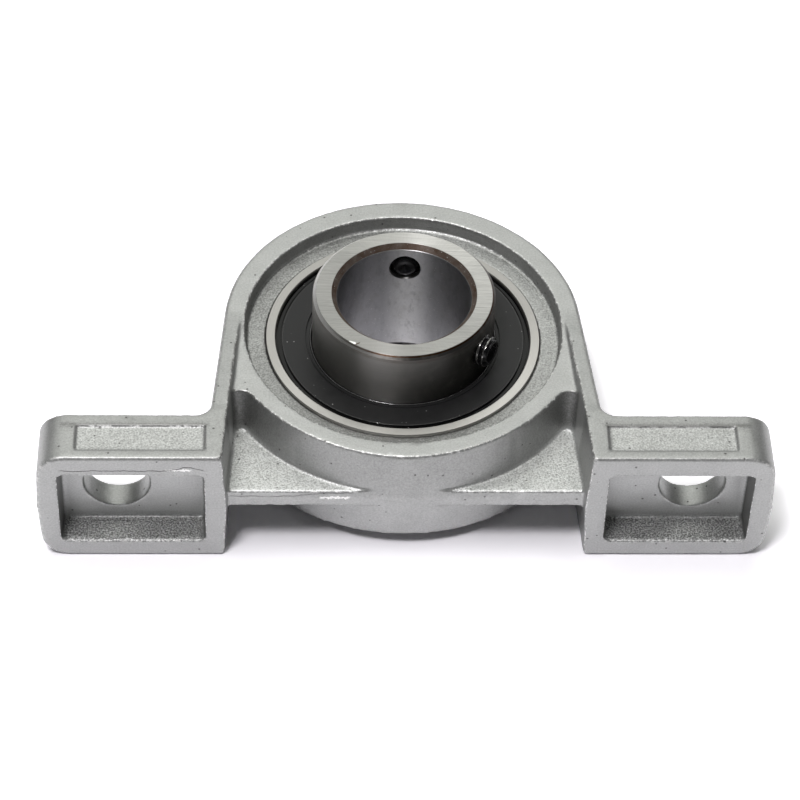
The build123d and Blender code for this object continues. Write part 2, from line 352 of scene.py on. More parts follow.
@dataclass(frozen=True)
class CastingMarks:
    """The flow marks, and the burrs beside them, painted near-white as highlights, on the left foot's rim and
    on the web's edge.
    """

    foot_flow: Mark = Mark(mm(-37.0, -22.0, 0.4), mm(-30.0, -21.85, 0.05), mm(5.86, 5.92, 0.05))
    foot_hump: Span = mm(-24.0, -23.2, 1.5)
    foot_hump_height: float = 0.55 * MM
    foot_burr: Mark = Mark(mm(-25.6, -23.4, 0.4), mm(-30.0, -21.85, 0.05), mm(5.90, 6.10, 0.06))
    web_flow: Mark = Mark(mm(-19.0, -6.0, 0.5), mm(-21.0, -20.6, 0.05), mm(0.42, 0.48, 0.06))
    web_hump: Span = mm(-9.0, -5.0, 3.0)
    web_hump_height: float = 0.45 * MM
    web_burr: Mark = Mark(mm(-9.2, -6.3, 0.3), mm(-21.1, -20.5, 0.05), mm(0.10, 0.28, 0.06))
    web_faintest: float = 0.4
    web_fading: float = 2.0 * MM
    sway_size: float = 1.5 * MM
    sway: float = 0.5 * MM
    ragged_size: float = 0.5 * MM
    raggedness: float = 0.9 * MM

    def flow(self, shader: Shader, spot: Spot) -> Wire:
        """Return the mask of the flow marks, each of which sways and has a hump.

        Args:
            shader: The material's shader.
            spot: The place on the surface.

        Returns:
            The mask as a wire.
        """
        z = spot.z + (shader.grain(self.sway_size, 3.0, 0.6) - 0.5) * self.sway
        foot = self.foot_flow.mask(spot, z - spot.x.inside(*self.foot_hump) * self.foot_hump_height)
        web = self.web_flow.mask(spot, z - spot.x.inside(*self.web_hump) * self.web_hump_height)
        strength = self.web_faintest + (1 - self.web_faintest) * shader.grain(self.web_fading)
        return (foot + web * strength).clamped()

    def burr_highlights(self, shader: Shader, spot: Spot) -> Wire:
        """Return the mask of the burrs, where a painted highlight goes."""
        z = spot.z + (shader.grain(self.ragged_size, 3.0, 0.7) - 0.5) * self.raggedness
        return (self.foot_burr.mask(spot, z) + self.web_burr.mask(spot, z)).clamped()


@dataclass(frozen=True)
class CastZinc:
    """Die-cast zinc: light grey, stippled where it was blasted, with pits, flow marks and painted glints on
    its ragged edges.

    The mesh stores three values at its corners: how coarse its grain is, how sharp an edge it lies on, and
    the painted light and shade added to its tone.
    """

    dark: Colour = (0.20, 0.201, 0.196)
    bright: Colour = (0.715, 0.726, 0.716)
    # edge is the near-white colour of the painted glints on the edges and of the painted highlight on the
    # burrs.
    edge: Colour = (0.95, 0.95, 0.93)
    pit: Colour = (0.09, 0.088, 0.085)
    stipple_size: float = 0.20 * MM
    stipple_depth: float = 0.062 * MM
    stipple_contrast: float = 2.4
    smooth_share: float = 0.24
    ledge_share: float = 0.3
    cloud_size: float = 3.0 * MM
    cloud_contrast: float = 0.25
    glint_size: float = 0.34 * MM
    glint_start: float = 0.48
    glint_slope: float = 10.0
    edge_gain: float = 1.9
    pit_spacing: float = 1.5 * MM
    pit_radius: float = 0.10
    pit_strength: float = 0.75
    flow_strength: float = 0.8
    mark_depth: float = 0.02 * MM
    ring_line_size: float = 0.12 * MM
    ledge_height: float = 4.25 * MM
    ledge_half_band: float = 0.12 * MM
    ledge_inner: float = 15.4 * MM
    ledge_outer: float = 17.75 * MM
    ledge_tone: float = 0.22
    ledge_side_tone: float = 0.08
    ledge_front_tone: float = 0.27
    counterbore_half_band: float = 0.2 * MM
    counterbore_top: float = 5.75 * MM
    counterbore_painted_shade: float = 0.22
    roughness: float = 0.47
    roughness_change: float = 0.1
    metallic: float = 0.75
    glint_metallic_loss: float = 0.35

    def material(self) -> bpy.types.Material:
        """Return the material.

        Returns:
            The new material.
        """
        shader = Shader(bpy.data.materials.new("cast_zinc"))
        spot = shader.spot()
        ledge = self._ledge(spot)
        stipple = shader.grain(self.stipple_size, 2.0, 0.6) - 0.5
        stipple = stipple * (self.smooth_share + (1 - self.smooth_share) * shader.stored("coarse")
                             + self.ledge_share * ledge)
        cloud = shader.grain(self.cloud_size, 3.0, 0.55) - 0.5
        tone = 0.5 + self.stipple_contrast * stipple + self.cloud_contrast * cloud
        # Painted light and shade: the stored values brighten or darken each wall's tone, and the ledge's
        # darkening and the counterbore's painted shade come off it.
        tone = (tone + shader.stored("painted_shading") - self._ledge_and_wall_darkening(spot, ledge)).clamped()
        # Painted glints: near-white specks along the sharp outer edges stand in for highlights; they are also
        # less rough and less metallic.
        painted_glint = ((shader.grain(self.glint_size, 2.0, 0.6) - self.glint_start) * self.glint_slope).clamped()
        painted_glint = painted_glint * (self.edge_gain * shader.stored("edge")).clamped()
        pit = shader.dots(self.pit_spacing, self.pit_radius) * (1 - ledge)
        marks = CastingMarks()
        flow = marks.flow(shader, spot)

        colour = shader.mix(tone, self.dark, self.bright)
        colour = shader.mix(painted_glint, colour, self.edge)
        # Painted highlight: the burrs take the near-white edge colour.
        colour = shader.mix(marks.burr_highlights(shader, spot), colour, self.edge)
        colour = shader.mix((self.pit_strength * pit + self.flow_strength * flow).clamped(), colour, self.pit)
        roughness = self.roughness + self.roughness_change * (cloud - painted_glint - ledge)
        metallic = self.metallic - self.glint_metallic_loss * painted_glint
        rings = shader.grain(self.ring_line_size, 2.0, 0.6, shader.vector(spot.radius, 0.0, 0.0))
        normal = shader.bump(0.5 + stipple, self.stipple_depth)
        normal = shader.bump(rings * ledge - pit - flow, self.mark_depth, normal)
        return shader.finish(Base_Color=colour, Metallic=metallic, Roughness=roughness, Normal=normal)

    def _ledge(self, spot: Spot) -> Wire:
        """Return the mask of the turned ledge beside the insert.

        Args:
            spot: The place on the surface.

        Returns:
            The mask as a wire.
        """
        low, high = self.ledge_height - self.ledge_half_band, self.ledge_height + self.ledge_half_band
        level = abs(spot.z).inside(low, high, 0.05 * MM)
        return level * spot.radius.inside(self.ledge_inner, self.ledge_outer, 0.1 * MM)

    def _ledge_and_wall_darkening(self, spot: Spot, ledge: Wire) -> Wire:
        """Return how much darker the ledge is, more so towards the front and the left, and the painted shade
        on the front and sides of the counterbore's wall.

        Args:
            spot: The place on the surface.
            ledge: The ledge's mask.

        Returns:
            What is taken off the tone.
        """
        across, up = spot.x / spot.radius, spot.y / spot.radius
        low = (-1 * up).clamped()
        tone = self.ledge_tone - self.ledge_side_tone * across + self.ledge_front_tone * low * low
        # Painted shade: the counterbore's wall is darkened at the front and the sides, not at the back.
        band = self.counterbore_half_band
        wall = spot.radius.inside(self.ledge_outer - band, self.ledge_outer + band, 0.05 * MM)
        wall = wall * spot.z.inside(self.ledge_height, self.counterbore_top, 0.1 * MM) * (1 - up.clamped())
        return ledge * tone + self.counterbore_painted_shade * wall


@dataclass(frozen=True)
class MachinedSteel:
    """Bright turned or ground steel with fine cut lines, and painted light that grows towards the right and
    the front.
    """

    name: str
    colour: Colour = (0.46, 0.455, 0.44)
    roughness: float = 0.34
    lines: CutLines = CutLines.ROUND
    line_size: float = 0.06 * MM
    line_depth: float = 0.0015 * MM
    line_stretch: float = 0.02
    line_contrast: float = 1.2
    line_roughness: float = 0.14
    cloud_size: float = 2.5 * MM
    cloud_contrast: float = 0.5
    cloud_roughness: float = 0.1
    dark_share: float = 0.72
    right_gain: float = 0.0
    front_gain: float = 0.0
    painted_light_colour: Colour = (0.90, 0.88, 0.85)

    def material(self) -> bpy.types.Material:
        """Return the material.

        Returns:
            The new material.
        """
        shader = Shader(bpy.data.materials.new(self.name))
        spot = shader.spot()
        if self.lines is CutLines.ROUND:
            where = shader.vector(spot.radius, spot.z, 0.0)
        else:
            where = shader.vector(spot.x * self.line_stretch, spot.y, spot.z)
        lines = shader.grain(self.line_size, 3.0, 0.6, where)
        cloud = shader.grain(self.cloud_size, 3.0, 0.6)
        dark = tuple(self.dark_share * part for part in self.colour)
        # Painted light: the colour turns paler towards the right and the front.
        gain = (self.right_gain * spot.x / spot.radius - self.front_gain * spot.y / spot.radius).clamped()
        colour = shader.mix(gain, self.colour, self.painted_light_colour)
        colour = shader.mix((lines - 0.35) * self.line_contrast, colour, dark)
        colour = shader.mix((cloud - 0.45) * self.cloud_contrast, colour, dark)
        roughness = self.roughness + self.line_roughness * (lines - 0.5)
        roughness = roughness + self.cloud_roughness * (cloud - 0.5)
        normal = shader.bump(lines, self.line_depth)
        return shader.finish(Base_Color=colour, Metallic=1.0, Roughness=roughness, Normal=normal)


@dataclass(frozen=True)
class InnerRingSteel:
    """Ground steel of the inner ring: bright face, side in painted shade, honed bore with a rust-brown
    chamfer.

    A shading is how strong a shade is: its level, and its gain to the right, to the back and at both ends.
    """

    colour: Colour = (0.80, 0.792, 0.77)
    groove: Colour = (0.42, 0.415, 0.405)
    oxide: Colour = (0.060, 0.031, 0.017)
    tarnish: Colour = (0.30, 0.285, 0.265)
    face_shade: Colour = (0.20, 0.198, 0.192)
    # side is a dark colour that paints shade on the collar's outer side.
    side: Colour = (0.24, 0.235, 0.225)
    side_shade: Colour = (0.045, 0.043, 0.04)
    corner_shade: Colour = (0.085, 0.082, 0.078)
    bore: Colour = (0.39, 0.39, 0.41)
    painted_bore_highlight: Colour = (0.70, 0.70, 0.71)
    bore_worn: Colour = (0.22, 0.22, 0.235)
    burr_highlight: Colour = (0.95, 0.95, 0.94)
    painted_glint_colour: Colour = (0.85, 0.85, 0.84)
    bore_radius: float = 7.5 * MM
    side_radius: float = 10.2 * MM
    top: float = 11.15 * MM
    chamfer: float = 0.6 * MM
    corner_width: float = 0.42 * MM
    rusty_rim: Span = mm(0.75, 0.3, 0.15)
    painted_highlight_band: Span = mm(0.2, 1.4, 2.3)
    burr_x: Span = mm(-6.15, -5.55, 0.1)
    burr_out: Span = mm(-9.95, -9.70, 0.08)
    burr_slant: float = 0.35
    notch_x: Span = mm(-5.6, -5.1, 0.1)
    notch_out: Span = mm(-4.82, -4.72, 0.05)
    notch_slant: float = -0.6
    cloud_size: float = 1.6 * MM
    speck_size: float = 0.22 * MM
    line_depth: float = 0.003 * MM
    roughness: float = 0.34
    anisotropy: float = 0.88
    groove_start: float = 0.38
    groove_slope: float = 2.6
    wall_share: float = 0.9
    face_shading: Span = (0.283, -0.173, -0.13, 0.438)
    side_shading: Span = (0.28, 0.85, 0.0, 0.0)
    corner_shading: Span = (0.35, 0.9, -0.9, 0.0)
    brown_metallic_loss: float = 0.6
    speck_start: float = 0.66
    speck_slope: float = 14.0
    speck_strength: float = 0.6

    def material(self) -> bpy.types.Material:
        """Return the material.

        Returns:
            The new material.
        """
        shader = Shader(bpy.data.materials.new("inner_ring_steel"))
        spot = shader.spot()
        x, y, z, radius = spot.x, spot.y, spot.z, spot.radius
        face = z.above(self.top - 0.02 * MM, 0.02 * MM)
        bore = radius.below(self.bore_radius + 0.05 * MM, 0.03 * MM)
        side = radius.above(self.side_radius - 0.03 * MM, 0.03 * MM) * (1 - face)
        mouth = self._mouth(spot)
        lines = self._lines(shader, spot, face)
        cloud = shader.grain(self.cloud_size, 4.0, 0.6)

        colour = shader.mix((lines - self.groove_start) * self.groove_slope, self.colour, self.groove)
        colour = shader.mix(face * self._shading(spot, *self.face_shading), colour, self.face_shade)
        colour = shader.mix(bore * self.wall_share, colour, self._bore_colour(shader, spot, bore))
        # Painted shade: the collar's outer side is made dark, and darker still towards the right.
        colour = shader.mix(side * self.wall_share, colour, self.side)
        colour = shader.mix(side * self._shading(spot, *self.side_shading), colour, self.side_shade)
        corner = self._corner(spot) * self._shading(spot, *self.corner_shading)
        colour = shader.mix(corner, colour, self.corner_shade)
        colour = shader.mix(corner * z.inside(self.top - 0.16 * MM, self.top, 0.02 * MM), colour, self.oxide)
        colour = shader.mix(((cloud - 0.5) * (1 - face) * 1.2).clamped(), colour, self.tarnish)
        brown = (mouth * (0.88 + 0.4 * (cloud - 0.35)) + self._rim(spot) * (cloud - 0.35) * 1.1).clamped()
        colour = shader.mix(brown, colour, self.oxide)
        # Painted highlight: the burr of the nick is painted near-white.
        burr_highlight, notch = self._nick(x, y, face)
        colour = shader.mix(burr_highlight, shader.mix(notch, colour, self.oxide), self.burr_highlight)
        # Painted glints: small near-white specks in the bore and on its chamfer.
        specks = shader.grain(self.speck_size, 2.0, 0.6) - self.speck_start
        specks = (specks * self.speck_slope).clamped() * (bore + mouth).clamped()
        colour = shader.mix(specks * self.speck_strength, colour, self.painted_glint_colour)
        roughness = self.roughness + 0.1 * (lines - 0.5) + 0.1 * (cloud - 0.4) + 0.2 * brown + 0.04 * side
        normal = shader.bump(lines, self.line_depth)
        metallic = 1.0 - self.brown_metallic_loss * brown
        return shader.finish(Base_Color=colour, Metallic=metallic, Roughness=roughness, Normal=normal,
                             Anisotropic=self.anisotropy, Anisotropic_Rotation=0.25)

    @staticmethod
    def _shading(spot: Spot, level: float, right: float, back: float, ends: float) -> Wire:
        """Return a strength that changes round the ring.

        Args:
            spot: The place on the surface.
            level: The strength where the others add nothing.
            right: What it gains to the right, and loses to the left.
            back: What it gains to the back, and loses to the front.
            ends: What it gains at the front and the back alike.

        Returns:
            The strength, kept between 0 and 1.
        """
        across, up = spot.x / spot.radius, spot.y / spot.radius
        return (level + right * across + back * up + ends * up * up).clamped()

    @staticmethod
    def _lines(shader: Shader, spot: Spot, face: Wire) -> Wire:
        """Return the noise of the cut lines.

        Args:
            shader: The material's shader.
            spot: The place on the surface.
            face: The mask of the ring's face, which was ground straight across and then turned.

        Returns:
            The noise as a wire.
        """
        x, y, z, radius = spot.x, spot.y, spot.z, spot.radius
        straight = shader.grain(0.13 * MM, 3.0, 0.7, shader.vector(x * 0.03, y + x * 0.05, z))
        spokes = shader.vector(x.angle(y) * (9.0 * MM), radius * 0.05, z)
        turned = shader.grain(0.07 * MM, 2.0, 0.6, spokes)
        rings = shader.grain(0.05 * MM, 3.0, 0.6, shader.vector(radius * 3.0, z, 0.0))
        return face * (0.75 * straight + 0.25 * turned) + (1 - face) * rings

    def _bore_colour(self, shader: Shader, spot: Spot, bore: Wire) -> Wire:
        """Return the colour of the bore, with a painted highlight down it and its worn places.

        Args:
            shader: The material's shader.
            spot: The place on the surface.
            bore: The mask of the bore.

        Returns:
            The colour as a wire.
        """
        worn = shader.grain(0.7 * MM, 4.0, 0.65, shader.vector(spot.x, spot.y, spot.z * 0.5)) - 0.5
        # Painted highlight: a pale upright band on the bore's wall stands in for a reflection.
        painted_highlight_band = (spot.x.inside(*self.painted_highlight_band) * bore * (1.0 + 1.2 * worn)).clamped()
        colour = shader.mix(painted_highlight_band, self.bore, self.painted_bore_highlight)
        return shader.mix((worn * 2.2).clamped(), colour, self.bore_worn)

    def _mouth(self, spot: Spot) -> Wire:
        """Return the mask of the chamfer at the mouth of the bore.

        Args:
            spot: The place on the surface.

        Returns:
            The mask as a wire.
        """
        inner, outer = self.bore_radius + 0.06 * MM, self.bore_radius + self.chamfer - 0.04 * MM
        low, high = self.top - self.chamfer - 0.1 * MM, self.top - 0.03 * MM
        return spot.radius.inside(inner, outer, 0.03 * MM) * spot.z.inside(low, high, 0.03 * MM)

    def _rim(self, spot: Spot) -> Wire:
        """Return the mask of the rusty band on the collar, below its corner.

        Args:
            spot: The place on the surface.

        Returns:
            The mask as a wire.
        """
        low, high, edge = self.rusty_rim
        level = spot.z.inside(self.top - low, self.top - high, edge)
        return level * spot.radius.above(self.side_radius - 0.02 * MM, 0.02 * MM)

    def _corner(self, spot: Spot) -> Wire:
        """Return the mask of the collar's outer corner.

        Args:
            spot: The place on the surface.

        Returns:
            The mask as a wire.
        """
        inner, outer = self.side_radius - self.corner_width, self.side_radius - 0.02 * MM
        level = spot.z.inside(self.top - self.corner_width, self.top - 0.05 * MM, 0.03 * MM)
        return level * spot.radius.inside(inner, outer, 0.02 * MM)

    def _nick(self, x: Wire, y: Wire, face: Wire) -> Tuple[Wire, Wire]:
        """Return the masks of a burr, painted near-white as a highlight, and of the notch beside it, at the
        edge of the face.

        Args:
            x: The place along the feet.
            y: The place from front to back.
            face: The mask of the ring's face.

        Returns:
            The burr's mask and the notch's.
        """
        burr_highlight = x.inside(*self.burr_x) * (y + self.burr_slant * x).inside(*self.burr_out)
        notch = x.inside(*self.notch_x) * (y + self.notch_slant * x).inside(*self.notch_out)
        return burr_highlight * face, notch * face


@dataclass(frozen=True)
class SealRubber:
    """Moulded black rubber with a little dust."""

    name: str = "seal_rubber"
    colour: Colour = (0.010, 0.010, 0.0105)
    bloom: Colour = (0.026, 0.026, 0.027)
    band: Colour = (0.003, 0.003, 0.003)
    dust: Colour = (0.45, 0.45, 0.44)
    roughness: float = 0.44
    roughness_change: float = 0.25
    specular: float = 0.3
    band_radius: float = 13.5 * MM
    band_edge: float = 0.2 * MM
    cloud_size: float = 1.2 * MM
    fine_size: float = 0.12 * MM
    fine_depth: float = 0.004 * MM
    dust_spacing: float = 0.9 * MM
    dust_radius: float = 0.09
    dust_patch: float = 2.2 * MM
    dust_strength: float = 0.8

    def material(self) -> bpy.types.Material:
        """Return the material.

        Returns:
            The new material.
        """
        shader = Shader(bpy.data.materials.new(self.name))
        cloud = shader.grain(self.cloud_size, 4.0, 0.6)
        patches = ((shader.grain(self.dust_patch, 2.0, 0.5) - 0.42) * 6.0).clamped()
        specks = shader.dots(self.dust_spacing, self.dust_radius) * patches
        outer = ((shader.spot().radius - self.band_radius) / self.band_edge).clamped()
        colour = shader.mix(cloud * 0.4 * (1 - outer), self.colour, self.bloom)
        colour = shader.mix(outer, colour, self.band)
        colour = shader.mix(specks * self.dust_strength, colour, self.dust)
        roughness = self.roughness + self.roughness_change * (cloud - 0.5 - outer) + 0.2 * specks
        normal = shader.bump(shader.grain(self.fine_size, 2.0, 0.6), self.fine_depth)
        return shader.finish(Base_Color=colour, Metallic=0.0, Roughness=roughness, Normal=normal,
                             Specular_IOR_Level=self.specular)


@dataclass(frozen=True)
class BlackOxide:
    """Oiled black oxide on the set screws, with a painted highlight on the crests of the thread.

    The mesh stores crest at its corners, which is 1 on the crests.
    """

    colour: Colour = (0.010, 0.010, 0.011)
    worn: Colour = (0.10, 0.095, 0.09)
    crest_highlight_colour: Colour = (0.36, 0.355, 0.34)
    roughness: float = 0.17
    roughness_change: float = 0.2
    metallic: float = 0.5
    cloud_size: float = 0.4 * MM
    fine_size: float = 0.05 * MM
    fine_depth: float = 0.004 * MM

    def material(self) -> bpy.types.Material:
        """Return the material.

        Returns:
            The new material.
        """
        shader = Shader(bpy.data.materials.new("black_oxide"))
        cloud = shader.grain(self.cloud_size, 3.0, 0.6)
        # Painted highlight: pale, fully metallic patches on the thread's crests.
        painted_crest_highlight = ((shader.stored("crest") - 0.8) * 5.0).clamped() * ((cloud - 0.35) * 4.0).clamped()
        colour = shader.mix(((cloud - 0.55) * 1.6).clamped(), self.colour, self.worn)
        colour = shader.mix(painted_crest_highlight, colour, self.crest_highlight_colour)
        roughness = self.roughness + self.roughness_change * (cloud - 0.5)
        metallic = self.metallic + (1 - self.metallic) * painted_crest_highlight
        normal = shader.bump(shader.grain(self.fine_size, 2.0, 0.6), self.fine_depth)
        return shader.finish(Base_Color=colour, Metallic=metallic, Roughness=roughness, Normal=normal)


def add_mesh(name: str, points: Sequence[Sequence[float]], faces: Sequence[Sequence[int]]
             ) -> bpy.types.Object:
    """Make a mesh object in the scene.

    Args:
        name: The piece's name.
        points: Its corners, in metres.
        faces: Its faces as lists of corner numbers.

    Returns:
        The new object, shaded smooth.
    """
    mesh = bpy.data.meshes.new(name)
    mesh.from_pydata([tuple(point) for point in points], [], [tuple(face) for face in faces])
    mesh.validate()
    mesh.shade_smooth()
    piece = bpy.data.objects.new(name, mesh)
    bpy.context.scene.collection.objects.link(piece)
    return piece


def store(mesh: bpy.types.Mesh, name: str, values: np.ndarray) -> None:
    """Store a value at each corner of a mesh, for a material to read."""
    layer = mesh.attributes.new(name, "FLOAT", "POINT")
    layer.data.foreach_set("value", values.astype(np.float32))


def dress(piece: bpy.types.Object, material: bpy.types.Material) -> None:
    """Give a piece or a CAD node its one material.

    Args:
        piece: The piece or the CAD node.
        material: Its finish.
    """
    if not piece.data.materials:
        piece.data.materials.append(material)
    for slot in piece.material_slots:
        slot.material = material


@dataclass
class Skin:
    """The corners of a mesh, their normals and its edges, as arrays."""

    points: np.ndarray
    normals: np.ndarray
    edges: np.ndarray

    @classmethod
    def of(cls, mesh: bpy.types.Mesh) -> "Skin":
        """Read them from a mesh.

        Args:
            mesh: The mesh to read.

        Returns:
            Its corners, normals and edges.
        """
        points = cls._read(mesh.vertices, "co", 3, np.float32).astype(float)
        normals = cls._read(mesh.vertex_normals, "vector", 3, np.float32).astype(float)
        return cls(points, normals, cls._read(mesh.edges, "vertices", 2, np.int32))

    @staticmethod
    def _read(items: bpy.types.bpy_prop_collection, name: str, width: int, kind: type) -> np.ndarray:
        """Return one property of a mesh's items, a row for each item.

        Args:
            items: The mesh's corners, normals or edges.
            name: The property.
            width: How many numbers it holds for each item.
            kind: The type of those numbers.

        Returns:
            The numbers, a row for each item.
        """
        values = np.empty(len(items) * width, kind)
        items.foreach_get(name, values)
        return values.reshape(-1, width)

    @property
    def y(self) -> np.ndarray:
        """Return how far back each corner lies."""
        return self.points[:, 1]

    @property
    def z(self) -> np.ndarray:
        """Return how high each corner lies over the parting plane."""
        return self.points[:, 2]

    @property
    def span(self) -> np.ndarray:
        """Return how far each corner lies from the middle plane between the feet."""
        return np.abs(self.points[:, 0])

    @property
    def depth(self) -> np.ndarray:
        """Return how far each corner lies from the parting plane."""
        return np.abs(self.points[:, 2])

    @property
    def radius(self) -> np.ndarray:
        """Return how far each corner lies from the axis of the bore."""
        return np.hypot(self.points[:, 0], self.points[:, 1])

    def convexity(self) -> np.ndarray:
        """Return how far each corner stands out from its neighbours, from -1 to 1.

        Returns:
            A value for each corner.
        """
        first, second = self.edges[:, 0], self.edges[:, 1]
        way = self.points[second] - self.points[first]
        way /= np.maximum(np.linalg.norm(way, axis=1, keepdims=True), 1e-9)
        total = self._gathered(-(way * self.normals[first]).sum(1), (way * self.normals[second]).sum(1))
        return total / np.maximum(self._gathered(1, 1), 1)

    def spread(self, values: np.ndarray, times: int) -> np.ndarray:
        """Average values with their neighbours'.

        Args:
            values: A value for each corner.
            times: How often it is done.

        Returns:
            The new values.
        """
        first, second = self.edges[:, 0], self.edges[:, 1]
        count = 1 + self._gathered(1, 1)
        for _ in range(times):
            values = (values + self._gathered(values[second], values[first])) / count
        return values

    def _gathered(self, at_first: Union[np.ndarray, int], at_second: Union[np.ndarray, int]) -> np.ndarray:
        """Return for each corner the sum of what its edges bring to their first and second ends.

        Args:
            at_first: What each edge brings to its first end.
            at_second: What each edge brings to its second end.

        Returns:
            The sum for each corner.
        """
        total = np.zeros(len(self.points))
        np.add.at(total, self.edges[:, 0], at_first)
        np.add.at(total, self.edges[:, 1], at_second)
        return total

    def noise(self, size: float, seed: float) -> np.ndarray:
        """Return smooth noise from -1 to 1 at each corner, with features of that size."""
        shift = Vector((seed, 2 * seed, 3 * seed))
        return np.array([noise.noise(Vector(point) / size + shift) for point in self.points])


def ramp(values: np.ndarray, start: float, width: float) -> np.ndarray:
    """Return 0 up to start, 1 from width beyond it and an even slope between."""
    return np.clip((values - start) / width, 0, 1)


@dataclass
class CastHousing:
    """The casting, with the ragged edges, the flash on the parting plane and the grain of the real one.

    Places along X are distances from the middle plane between the feet.
    """

    voxel: float = 0.2 * MM
    most_triangles: int = 190000
    bend_start: float = 0.07
    bend_range: float = 0.16
    calm: float = 0.45
    panel_calm: float = 0.3
    ripple: float = 0.018 * MM
    raggedness: float = 0.13 * MM
    flash_height: float = 0.11 * MM
    flash_width: float = 0.16 * MM
    seat_radius: float = 16.02 * MM
    seat_band: float = 0.12 * MM
    seat_half: float = 4.3 * MM
    seat_room: float = 0.03 * MM
    ledge_edge: float = 17.2 * MM
    half_ring: float = 6.0 * MM
    ring_outside: float = 20.3 * MM
    ring_start: float = -16.0 * MM
    wall_half: float = 12.0 * MM
    web_level: float = 1.6 * MM
    web_start: float = -5.0 * MM
    web_edge: Span = mm(-21.5, -20.4)
    foot_back: float = -20.0 * MM
    foot_end: float = 38.8 * MM
    flank_start: float = -15.0 * MM
    panel_floor: float = 7.55 * MM
    panel_inner: float = 21.5 * MM
    panel_outer: float = 35.8 * MM
    panel_top: float = -16.5 * MM
    panel_back: float = -17.0 * MM
    pocket_wall: float = 5.6 * MM
    pocket_inner: float = 21.5 * MM
    pocket_outer: float = 38.2 * MM
    pocket_back: float = -18.2 * MM
    pocket_floor: float = -18.9 * MM
    bolt_x: float = 31.5 * MM
    bolt_room: float = 4.3 * MM
    lip_drop: float = 0.38 * MM
    lip_start: float = 3.9 * MM
    lip_end: float = 7.3 * MM
    lip_edge: float = 0.5 * MM
    lean: float = 0.55 * MM
    lean_start: float = 18.3 * MM
    notch_lean: float = 0.55 * MM
    notch_x: float = 16.5 * MM
    notch_end: float = 19.5 * MM
    nook_start: float = 11.5 * MM
    nook_y: Span = mm(-19.5, -10.0)

    def build(self, material: bpy.types.Material) -> None:
        """Make the detailed casting and put it in the place of the plain one.

        Args:
            material: The casting's finish.
        """
        piece = self._remeshed(frame["nodes"]["housing"])
        self._roughen(piece.data)
        piece = self._thinned(piece)
        dress(piece, material)
        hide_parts("housing")
        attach(piece, "housing")
        log.info("casting: %d faces", len(piece.data.polygons))

    def _remeshed(self, node: bpy.types.Object) -> bpy.types.Object:
        """Return an even, closed mesh of the node's shape.

        Args:
            node: The CAD node, which stays as it is.

        Returns:
            The new piece.
        """
        rough = bpy.data.objects.new("casting_form", node.data.copy())
        bpy.context.scene.collection.objects.link(rough)
        remesh = rough.modifiers.new("even", "REMESH")
        remesh.mode = "VOXEL"
        remesh.voxel_size = self.voxel
        return self._applied(rough)

    def _thinned(self, piece: bpy.types.Object) -> bpy.types.Object:
        """Return the piece, all of whose faces have four corners, with fewer faces where it is flat.

        Args:
            piece: The casting.

        Returns:
            The same piece, or a thinner one in its place.
        """
        triangles = 2 * len(piece.data.polygons)
        if triangles <= self.most_triangles:
            return piece
        thin = piece.modifiers.new("thin", "DECIMATE")
        thin.ratio = self.most_triangles / triangles
        return self._applied(piece)

    @staticmethod
    def _applied(piece: bpy.types.Object) -> bpy.types.Object:
        """Return the casting with the piece's modifiers applied, and remove the piece.

        Args:
            piece: The piece with its modifiers.

        Returns:
            The new casting.
        """
        graph = bpy.context.evaluated_depsgraph_get()
        mesh = bpy.data.meshes.new_from_object(piece.evaluated_get(graph))
        mesh.materials.clear()
        mesh.name = "casting"
        mesh.shade_smooth()
        bpy.data.objects.remove(piece)
        done = bpy.data.objects.new("casting", mesh)
        bpy.context.scene.collection.objects.link(done)
        return done

    def _roughen(self, mesh: bpy.types.Mesh) -> None:
        """Move the corners as casting does, and store for each one how sharp an edge it lies on, how coarse
        it is, and its painted light and shade.

        Args:
            mesh: The casting's mesh.
        """
        skin = Skin.of(mesh)
        crest = self._crest(skin)
        ragged = skin.noise(0.55 * MM, seed=3.1)
        wave = skin.noise(4.0 * MM, seed=7.7)
        move = self.ripple * skin.noise(1.6 * MM, seed=1.3)
        move += self.raggedness * crest * (0.8 * ragged - 0.45 + 0.3 * wave)
        move += self._flash(skin, ragged, wave)
        seat, push = self._seat(skin)
        skin.points += skin.normals * move[:, None]
        skin.points[seat] *= push[seat][:, None]
        skin.points[:, 2] -= self._lip(skin)
        skin.points[:, 1] += self._lean(skin)
        skin.points = np.clip(skin.points, *(np.array(corner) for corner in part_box("housing")))
        mesh.vertices.foreach_set("co", skin.points.astype(np.float32).ravel())
        coarse, painted_shading = self._grain_and_painted_shading(skin)
        store(mesh, "edge", crest)
        store(mesh, "coarse", coarse)
        store(mesh, "painted_shading", painted_shading)
        mesh.update()

    def _crest(self, skin: Skin) -> np.ndarray:
        """Return how sharp an outer edge each corner lies on, from 0 to 1.

        Args:
            skin: The casting's corners.

        Returns:
            A value for each corner.
        """
        crest = ramp(skin.spread(skin.convexity(), 1), self.bend_start, self.bend_range)
        # The crest also places the painted glints, so it is taken off the ledge's edge and calmed on the
        # pockets and the panels' back edges.
        crest[skin.radius < self.ledge_edge] = 0
        crest[(skin.y > self.foot_back) & (skin.span > self.pocket_inner)] *= self.calm
        crest[np.abs(skin.y - self.panel_back) < 0.6 * MM] *= self.panel_calm
        return crest

